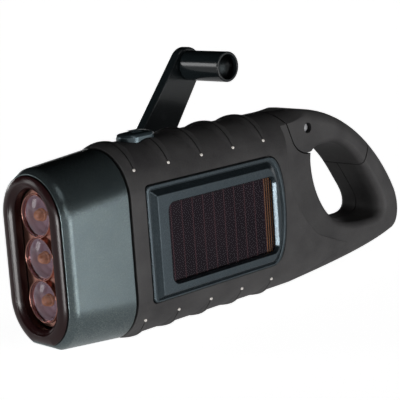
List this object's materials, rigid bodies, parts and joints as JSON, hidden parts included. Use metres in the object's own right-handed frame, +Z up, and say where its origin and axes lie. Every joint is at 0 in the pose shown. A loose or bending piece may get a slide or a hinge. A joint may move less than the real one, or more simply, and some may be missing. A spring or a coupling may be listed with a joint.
{
  "type": "hand crank flashlight",
  "caption": "Hand crank flashlight with a solar panel on one side, a folding crank on the other, a lens row in the head and a carabiner tail with a sprung gate.",
  "frame": {"origin": "on the flat foot of the body, straight under the crank's axis, halfway through the body's thickness", "axes": "+X from the lamp head to the carabiner tail, +Z up, solar panel on the -Y side and crank on the +Y side"},
  "size_m": [0.1501, 0.053, 0.0744],
  "materials": {
    "rubberised_shell": "matte soft-touch coating",
    "gunmetal_paint": "metallic flake lacquer on moulded plastic",
    "gloss_black": "gloss moulded plastic",
    "bezel_black": "gloss moulded plastic",
    "reflector": "vacuum metallised",
    "lens": "clear moulded plastic",
    "led": "clear epoxy",
    "solar_cell": "dark amorphous film",
    "cell_cover": "clear plastic sheet",
    "circuit_board": "solder mask",
    "steel": "plated",
    "copper": "enamelled winding",
    "gear_plastic": "moulded",
    "seal_rubber": "moulded"
  },
  "bodies": {
    "torch": {"solar_side_shell": "rubberised_shell", "crank_side_shell": "rubberised_shell", "head_shroud": "gunmetal_paint", "head_gasket": "seal_rubber", "front_bezel": "bezel_black", "reflector": "reflector", "upper_lens": "lens", "middle_lens": "lens", "lower_lens": "lens", "upper_led": "led", "middle_led": "led", "lower_led": "led", "led_board": "circuit_board", "solar_frame": "gunmetal_paint", "solar_cell": "solar_cell", "cell_cover": "cell_cover", "crank_dome": "rubberised_shell", "gear_plate": "gear_plastic", "first_idler_axle": "steel", "second_idler_axle": "steel", "stator": "copper", "main_board": "circuit_board", "button_cell_1": "steel", "button_cell_2": "steel", "button_cell_3": "steel", "battery_holder": "gloss_black", "power_switch": "steel", "switch_board": "circuit_board", "housing_screw_1": "steel", "housing_screw_2": "steel", "housing_screw_3": "steel", "housing_screw_4": "steel", "housing_screw_5": "steel", "gate_pin": "steel", "gate_spring": "steel"},
    "crank": {"crank_hub": "gloss_black", "crank_gear": "gear_plastic", "crank_screw": "steel", "crank_hinge_pin": "steel"},
    "arm": {"crank_arm": "gloss_black", "knob_pin": "steel"},
    "knob": {"crank_knob": "gloss_black"},
    "idler_1": {"first_idler": "gear_plastic"},
    "idler_2": {"second_idler": "gear_plastic"},
    "rotor": {"rotor": "steel"},
    "gate": {"gate": "rubberised_shell"},
    "button": {"power_button": "gloss_black"}
  },
  "joints": [
    {"name": "crank_spin", "type": "hinge", "parent": "torch", "child": "crank", "pos_m": [0, 0, 0.0275], "axis": [0, 1, 0], "continuous": true},
    {"name": "crank_fold", "type": "hinge", "parent": "crank", "child": "arm", "pos_m": [0, 0.03475, 0.0275], "axis": [-0.7934, 0, 0.6088], "range_deg": [0, 180]},
    {"name": "knob_spin", "type": "hinge", "parent": "arm", "child": "knob", "pos_m": [0.03141, 0, 0.06844], "axis": [0, 1, 0], "continuous": true},
    {"name": "idler_1_spin", "type": "hinge", "parent": "torch", "child": "idler_1", "pos_m": [-0.02035, 0, 0.03182], "axis": [0, 1, 0], "continuous": true},
    {"name": "idler_2_spin", "type": "hinge", "parent": "torch", "child": "idler_2", "pos_m": [-0.00681, 0, 0.0269], "axis": [0, 1, 0], "continuous": true},
    {"name": "rotor_spin", "type": "hinge", "parent": "torch", "child": "rotor", "pos_m": [0.0071, 0, 0.03063], "axis": [0, 1, 0], "continuous": true},
    {"name": "gate_swing", "type": "hinge", "parent": "torch", "child": "gate", "pos_m": [0.0405, 0, 0.0488], "axis": [0, 1, 0], "range_deg": [0, 24], "stiffness_Nm_per_rad": 0.06, "springref_deg": -20.05},
    {"name": "button_press", "type": "slide", "parent": "torch", "child": "button", "axis": [0, 0, -1], "range_m": [0, 0.0008], "stiffness_N_per_m": 400, "springref_m": -0.002}
  ],
  "couplings": [
    {"joint": "idler_1_spin", "follows": "crank_spin", "ratio": -3.3333},
    {"joint": "idler_2_spin", "follows": "crank_spin", "ratio": 6.6667},
    {"joint": "rotor_spin", "follows": "crank_spin", "ratio": -13.333}
  ]
}
